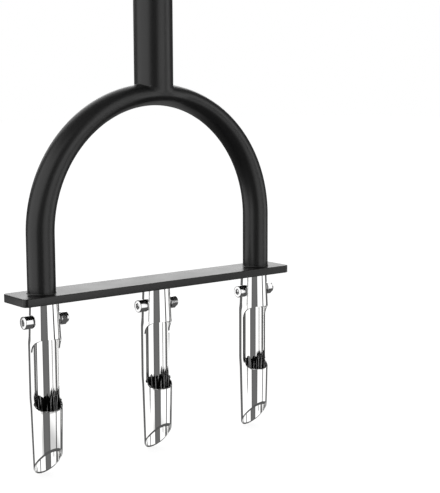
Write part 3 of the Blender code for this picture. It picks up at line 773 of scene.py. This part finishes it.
# Fasteners: bright plated socket head cap screws through the tines' collars and the pole joints, each with
# a lock nut on its right. Heads have a broken edge and a hexagon socket, nuts a chamfer at both ends and a
# plain round collar.
TINE_HEAD_HEIGHT = 0.0048
TINE_BOLT_RADIUS = 0.0020
POLE_HEAD_HEIGHT = 0.0056
POLE_BOLT_RADIUS = 0.0025
HEAD_EDGE_SHARE = 0.14
HEAD_EDGE_ROWS = 5
SOCKET_SHARE = 0.46
SOCKET_CHAMFER_SHARE = 0.06
SOCKET_DEPTH_SHARE = 0.55
SOCKET_POINT_SHARE = 0.35
SHANK_EDGE_SHARE = 0.20
THREAD_PITCH = 0.0007
THREAD_DEPTH = 0.00035
THREAD_TURNS = 8
THREAD_ROWS = 8
NUT_FACE_SHARE = 0.70
NUT_FACE_HEIGHT = 0.0006
NUT_FLANK_SHARE = 0.70
NUT_COLLAR_SHARE = 0.90
NUT_COLLAR_EDGE_SHARE = 0.12
NUT_CHAMFER = math.radians(30.0)
NUT_CHAMFER_ROWS = 6
NUT_BORE_CLEARANCE = 0.00015
FASTENER_COLUMNS = 48
FASTENER_COLOUR = (0.86, 0.86, 0.86)
FASTENER_PLAIN_ROUGHNESS = 0.12
FASTENER_ROUGHNESS = (0.08, 0.16)
FASTENER_PATCH_FREQUENCY = 1500.0
bright, tree, shader, place = finish_material(
    "bright_plated_fastener", FASTENER_COLOUR, 1.0, FASTENER_PLAIN_ROUGHNESS)
fingered = noise(FASTENER_PATCH_FREQUENCY, detail=3.0)
dulled = between(fingered, *NOISE_RANGE, *FASTENER_ROUGHNESS, kind="LINEAR")
tree.links.new(dulled, shader.inputs["Roughness"])
fastener_angle = np.linspace(0.0, 2 * math.pi, FASTENER_COLUMNS, endpoint=False)


def hexagon(turn):
    """Reach at each column of a hexagon whose flats are 1 from its axis: 1 over the cosine of the angle from
    the middle of the flat that the column meets."""
    return 1.0 / np.cos(np.mod(fastener_angle + turn, math.pi / 3) - math.pi / 6)


socket_hexagon = hexagon(0.0)
nut_hexagon = hexagon(math.pi / 6)


def make_screw(name, head_height, shank_radius):
    """Rows run from the point of the shank up its side, over the head and down into the socket's floor. The
    thread is a groove whose depth zigzags with the row's height less the column's share of one turn."""
    low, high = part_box(name)
    head = (high.z - low.z) / 2
    seat = low.x + head_height
    length = high.x - seat
    edge = head * HEAD_EDGE_SHARE
    end_edge = shank_radius * SHANK_EDGE_SHARE
    thread_height = np.linspace(0.0, THREAD_TURNS * THREAD_PITCH, THREAD_TURNS * THREAD_ROWS)
    turn = thread_height[:, None] / THREAD_PITCH - fastener_angle / (2 * math.pi)
    turns_in = np.clip(thread_height / THREAD_PITCH, 0.0, 1.0)
    turns_left = np.clip((thread_height[-1] - thread_height) / THREAD_PITCH, 0.0, 1.0)
    fade = turns_in * turns_left
    groove = np.abs(2 * np.mod(turn, 1.0) - 1.0) * THREAD_DEPTH * fade[:, None]
    thread = [(shank_radius - g, end_edge - length + h) for g, h in zip(groove, thread_height)]
    socket = head * SOCKET_SHARE
    socket_chamfer = SOCKET_CHAMFER_SHARE * head
    around = np.linspace(0.0, math.pi / 2, HEAD_EDGE_ROWS)
    over_edge = [
        (head - edge * (1 - math.cos(a)), head_height - edge * (1 - math.sin(a))) for a in around]
    floor = head_height * (1 - SOCKET_DEPTH_SHARE)
    rows = [
        (0.0, -length), (shank_radius - end_edge, -length), *thread, (shank_radius, 0.0),
        (head - edge / 2, 0.0), (head, edge / 2), *over_edge,
        (socket * socket_hexagon * (1 + SOCKET_CHAMFER_SHARE), head_height),
        (socket * socket_hexagon, head_height - socket_chamfer),
        (socket * socket_hexagon, floor), (0.0, floor - socket * SOCKET_POINT_SHARE)]
    grid = np.stack([ring_grid(r, h, fastener_angle) for r, h in rows])
    make_piece(
        f"{name}_screw", laid_along_x(grid, -1, seat, (low.z + high.z) / 2),
        wrapped_quads(len(rows), FASTENER_COLUMNS), bright, [name], sharp=30.0)


def make_lock_nut(name, bolt_radius):
    """Rows run over the raised bearing face, up the flats, over the collar and back down the bore. Each
    chamfer's radius is the lesser of the hexagon's and a cone's."""
    low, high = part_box(name)
    flat = (high.z - low.z) / 2
    height = high.x - low.x
    corner = flat / math.cos(math.pi / 6)
    rise = (corner - flat) * math.tan(NUT_CHAMFER)
    flank = height * NUT_FLANK_SHARE
    collar = flat * NUT_COLLAR_SHARE
    collar_edge = flat * NUT_COLLAR_EDGE_SHARE
    bolt_bore = bolt_radius + NUT_BORE_CLEARANCE
    steps = np.linspace(0.0, 1.0, NUT_CHAMFER_ROWS)
    chamfer = [(np.minimum(flat * nut_hexagon, flat + (corner - flat) * s), s * rise) for s in steps]
    far_chamfer = [(radius, flank - h) for radius, h in chamfer[::-1]]
    face = flat * NUT_FACE_SHARE
    rows = [
        (face, 0.0), *chamfer, *far_chamfer, (collar, flank), (collar, height - collar_edge),
        (collar - collar_edge, height), (bolt_bore, height)]
    rows = [(bolt_bore, 0.0), (face, 0.0), *((radius, h + NUT_FACE_HEIGHT) for radius, h in rows)]
    grid = np.stack([ring_grid(r, h, fastener_angle) for r, h in rows])
    faces = wrapped_quads(len(rows), FASTENER_COLUMNS, closed=True)
    points = laid_along_x(grid, 1, low.x, (low.z + high.z) / 2)
    make_piece(f"{name}_lock", points, faces, bright, [name], sharp=20.0)


for side in TINE_SIDES:
    make_screw(f"{side}_tine_bolt", TINE_HEAD_HEIGHT, TINE_BOLT_RADIUS)
    make_lock_nut(f"{side}_tine_nut", TINE_BOLT_RADIUS)
for joint in JOINTS:
    for bolt in JOINT_BOLTS:
        make_screw(f"{joint}_{bolt}_bolt", POLE_HEAD_HEIGHT, POLE_BOLT_RADIUS)
        make_lock_nut(f"{joint}_{bolt}_nut", POLE_BOLT_RADIUS)

# Studio: a white floor, a white surround and soft lamps. Metal mirrors a plain room instead: bright walls,
# greyer low down, a dim ceiling, a dim ground with a pale card, a dark panel beside the camera, a narrow
# dark post, and a dark far side with a bright opening above eye level. Bearings are in degrees from -Y
# towards -X.
WHITE = (1.0, 1.0, 1.0, 1.0)
FLOOR_SIZE = 12.0
FLOOR_COLOUR = 0.80
FLOOR_GLOW = 0.86
FLOOR_SHADE_SHARE = 0.22
AMBIENT_LEVEL = 0.80
WALL_LEVEL = 1.20
CEILING_START = 44.0
CEILING_END = 56.0
CEILING_LEVEL = 0.15
GROUND_START = -21.5
GROUND_END = -26.5
GROUND_LEVEL = 0.10
FAR_GROUND_CENTRE = 235.0
FAR_GROUND_HALF_WIDTH = 30.0
FAR_GROUND_SOFTNESS = 5.0
FAR_GROUND_LEVEL = 0.35
CARD_CENTRE = 245.0
CARD_HALF_WIDTH = 9.0
CARD_SIDE_SOFTNESS = 3.0
CARD_ELEVATION = -52.0
CARD_HALF_HEIGHT = 6.0
CARD_END_SOFTNESS = 2.0
CARD_LEVEL = 0.75
LOW_WALL_START = -18.3
LOW_WALL_END = -19.7
LOW_WALL_LEVEL = 0.66
LOW_WALL_CENTRE = -7.0
LOW_WALL_HALF_WIDTH = 79.0
LOW_WALL_SOFTNESS = 8.0
PANEL_LOW = 2.0
PANEL_HIGH = 20.0
PANEL_LOW_CENTRE = 33.25
PANEL_HIGH_CENTRE = 16.0
PANEL_HALF_WIDTH = 25.25
PANEL_SOFTNESS = 0.8
PANEL_CORE_SHARE = 0.3
PANEL_LEVEL = 0.155
PANEL_BORDER_LEVEL = 0.125
POST_LOW = -15.0
POST_HIGH = -11.5
POST_CENTRE = -41.5
POST_LOW_HALF_WIDTH = 4.2
POST_HIGH_HALF_WIDTH = 5.4
POST_SOFTNESS = 0.6
POST_LEVEL = 0.03
FAR_SIDE_LOW = -15.0
FAR_SIDE_HIGH = 5.0
FAR_SIDE_CENTRE = 215.0
FAR_SIDE_LOW_HALF_WIDTH = 61.0
FAR_SIDE_HIGH_HALF_WIDTH = 74.0
FAR_SIDE_SOFTNESS = 2.0
FAR_SIDE_LEVEL = 0.12
OPENING_CENTRE = 199.0
OPENING_HALF_WIDTH = 30.0
OPENING_SOFTNESS = 3.0
OPENING_LEVEL = 0.90
OPENING_LOW = 3.0
OPENING_HIGH = 7.0
STRIP_CENTRE = 216.0
STRIP_HALF_WIDTH = 17.0
STRIP_TOP = 26.0
STRIP_SOFTNESS = 3.0
STRIP_LEVEL = 2.2

world = bpy.data.worlds.new("studio")
bpy.context.scene.world = world
world.use_nodes = True
tree = world.node_tree
tree.nodes.clear()
direction = shader_node(tree, "ShaderNodeTexCoord").outputs["Generated"]
axes = shader_node(tree, "ShaderNodeSeparateXYZ", {"Vector": direction}).outputs
to_left = calc("MULTIPLY", axes["X"], -1.0)
to_front = calc("MULTIPLY", axes["Y"], -1.0)
bearing = calc("DEGREES", calc("ARCTAN2", to_left, to_front))
elevation = calc("DEGREES", calc("ARCSINE", axes["Z"]))


def off_bearing(centre):
    """Angle between the ray's bearing and a bearing, in degrees."""
    return calc("ABSOLUTE", calc("WRAP", calc("SUBTRACT", bearing, centre), 180.0, -180.0))


def within(angle, limit, softness):
    """1 where the angle is less than the limit, 0 where it is more, and eased between."""
    return between(calc("SUBTRACT", angle, limit), -softness, softness, 1.0, 0.0)


def past_elevation(start, end):
    """0 before the elevation start, 1 past end, and eased between, downwards where end is the lower one."""
    return between(elevation, start, end, 0.0, 1.0)


def shade(level, mask, other_level):
    """Level where the mask is 0 and other_level where it is 1: each times its share."""
    kept = calc("MULTIPLY", level, calc("SUBTRACT", 1.0, mask))
    return calc("ADD", kept, calc("MULTIPLY", other_level, mask))


def ray_kinds():
    """1 for a ray that metal mirrors, and 1 for a ray straight from the camera."""
    ray = shader_node(tree, "ShaderNodeLightPath").outputs
    return calc("MAXIMUM", ray["Is Glossy Ray"], ray["Is Transmission Ray"]), ray["Is Camera Ray"]


low_wall = all_of(
    past_elevation(LOW_WALL_START, LOW_WALL_END),
    within(off_bearing(LOW_WALL_CENTRE), LOW_WALL_HALF_WIDTH, LOW_WALL_SOFTNESS))
level = shade(WALL_LEVEL, low_wall, LOW_WALL_LEVEL)
far_half_width = between(
    elevation, FAR_SIDE_LOW, FAR_SIDE_HIGH, FAR_SIDE_LOW_HALF_WIDTH, FAR_SIDE_HIGH_HALF_WIDTH)
far_side = within(off_bearing(FAR_SIDE_CENTRE), far_half_width, FAR_SIDE_SOFTNESS)
level = shade(level, far_side, FAR_SIDE_LEVEL)
above_eye = past_elevation(OPENING_LOW, OPENING_HIGH)
opening = all_of(within(off_bearing(OPENING_CENTRE), OPENING_HALF_WIDTH, OPENING_SOFTNESS), above_eye)
level = shade(level, opening, OPENING_LEVEL)
strip = all_of(
    within(off_bearing(STRIP_CENTRE), STRIP_HALF_WIDTH, STRIP_SOFTNESS), above_eye,
    within(elevation, STRIP_TOP, STRIP_SOFTNESS))
level = shade(level, strip, STRIP_LEVEL)
panel_centre = between(elevation, PANEL_LOW, PANEL_HIGH, PANEL_LOW_CENTRE, PANEL_HIGH_CENTRE)
panel_off = off_bearing(panel_centre)
panel_level = between(
    panel_off, PANEL_HALF_WIDTH * PANEL_CORE_SHARE, PANEL_HALF_WIDTH, PANEL_LEVEL, PANEL_BORDER_LEVEL)
level = shade(level, within(panel_off, PANEL_HALF_WIDTH, PANEL_SOFTNESS), panel_level)
post_half_width = between(elevation, POST_LOW, POST_HIGH, POST_LOW_HALF_WIDTH, POST_HIGH_HALF_WIDTH)
level = shade(level, within(off_bearing(POST_CENTRE), post_half_width, POST_SOFTNESS), POST_LEVEL)
level = shade(level, past_elevation(CEILING_START, CEILING_END), CEILING_LEVEL)
far_ground = within(off_bearing(FAR_GROUND_CENTRE), FAR_GROUND_HALF_WIDTH, FAR_GROUND_SOFTNESS)
ground_level = shade(GROUND_LEVEL, far_ground, FAR_GROUND_LEVEL)
off_card = calc("ABSOLUTE", calc("SUBTRACT", elevation, CARD_ELEVATION))
card = all_of(
    within(off_bearing(CARD_CENTRE), CARD_HALF_WIDTH, CARD_SIDE_SOFTNESS),
    within(off_card, CARD_HALF_HEIGHT, CARD_END_SOFTNESS))
ground_level = shade(ground_level, card, CARD_LEVEL)
level = shade(level, past_elevation(GROUND_START, GROUND_END), ground_level)
mirrored, from_camera = ray_kinds()
strength = shade(shade(AMBIENT_LEVEL, mirrored, level), from_camera, 1.0)
sky = shader_node(tree, "ShaderNodeBackground", {"Color": WHITE, "Strength": strength})
shader_node(tree, "ShaderNodeOutputWorld", {"Surface": sky.outputs[0]})

# The floor glows white to the camera and takes a faint shadow, lights the tool as plain white paint would,
# and is left out of what metal mirrors.
floor_mesh = bpy.data.meshes.new("studio_floor")
half = FLOOR_SIZE / 2
floor_corners = [(-half, -half, 0.0), (half, -half, 0.0), (half, half, 0.0), (-half, half, 0.0)]
floor_mesh.from_pydata(floor_corners, [], [(0, 1, 2, 3)])
floor = bpy.data.objects.new("studio_floor", floor_mesh)
bpy.context.scene.collection.objects.link(floor)
white = bpy.data.materials.new("studio_white")
white.use_nodes = True
floor_mesh.materials.append(white)
tree = white.node_tree
tree.nodes.clear()
mirrored, from_camera = ray_kinds()
matte = shader_node(tree, "ShaderNodeBsdfDiffuse", {"Color": (FLOOR_SHADE_SHARE,) * 3 + (1.0,)})
glow = shader_node(tree, "ShaderNodeEmission", {"Color": WHITE, "Strength": FLOOR_GLOW})
lit = shader_node(tree, "ShaderNodeAddShader", {0: matte.outputs[0], 1: glow.outputs[0]})
plain = shader_node(tree, "ShaderNodeBsdfDiffuse", {"Color": (FLOOR_COLOUR,) * 3 + (1.0,)})
clear = shader_node(tree, "ShaderNodeBsdfTransparent")
for_camera = shader_node(tree, "ShaderNodeMixShader", {
    0: from_camera, 1: plain.outputs[0], 2: lit.outputs[0]})
floor_shader = shader_node(tree, "ShaderNodeMixShader", {
    0: mirrored, 1: for_camera.outputs[0], 2: clear.outputs[0]})
shader_node(tree, "ShaderNodeOutputMaterial", {"Surface": floor_shader.outputs[0]})

# Two soft lamps, above the camera's left and behind on the right. Metal mirrors the room and not the lamps.
# Each has a name, a place, a size in metres and a power in watts.
LAMP_AIM = Vector((0.0, 0.0, 0.25))
LAMPS = (("key_lamp", (-1.6, -1.6, 2.4), 1.6, 16.0), ("back_lamp", (1.8, 1.4, 2.0), 1.6, 8.0))
for name, place_at, size, power in LAMPS:
    light = bpy.data.lights.new(name, "AREA")
    light.size = size
    light.energy = power
    lamp = bpy.data.objects.new(name, light)
    lamp.location = place_at
    lamp.rotation_euler = (LAMP_AIM - Vector(place_at)).to_track_quat("-Z", "Y").to_euler()
    lamp.visible_glossy = False
    lamp.visible_camera = False
    bpy.context.scene.collection.objects.link(lamp)

# Camera: level with the bow and to the left of the tool, turned and tilted as the close-up was taken.
CAMERA_PLACE = Vector((-0.3934, -0.5494, 0.2169))
CAMERA_YAW = math.radians(38.833)
CAMERA_PITCH = math.radians(7.831)
CAMERA_ROLL = math.radians(-0.228)
CAMERA_LENS = 84.14
camera_data = bpy.data.cameras.new("camera")
camera_data.lens = CAMERA_LENS
camera = bpy.data.objects.new("camera", camera_data)
bpy.context.scene.collection.objects.link(camera)
bpy.context.scene.camera = camera
forward = Vector((
    math.sin(CAMERA_YAW) * math.cos(CAMERA_PITCH),
    math.cos(CAMERA_YAW) * math.cos(CAMERA_PITCH), -math.sin(CAMERA_PITCH)))
level_right = Vector((math.cos(CAMERA_YAW), -math.sin(CAMERA_YAW), 0.0))
level_up = level_right.cross(forward)
right = level_right * math.cos(CAMERA_ROLL) + level_up * math.sin(CAMERA_ROLL)
up = level_up * math.cos(CAMERA_ROLL) - level_right * math.sin(CAMERA_ROLL)
turned = Matrix((right, up, -forward)).transposed().to_4x4()
camera.matrix_world = Matrix.Translation(CAMERA_PLACE) @ turned
bpy.context.scene.view_settings.view_transform = "Standard"
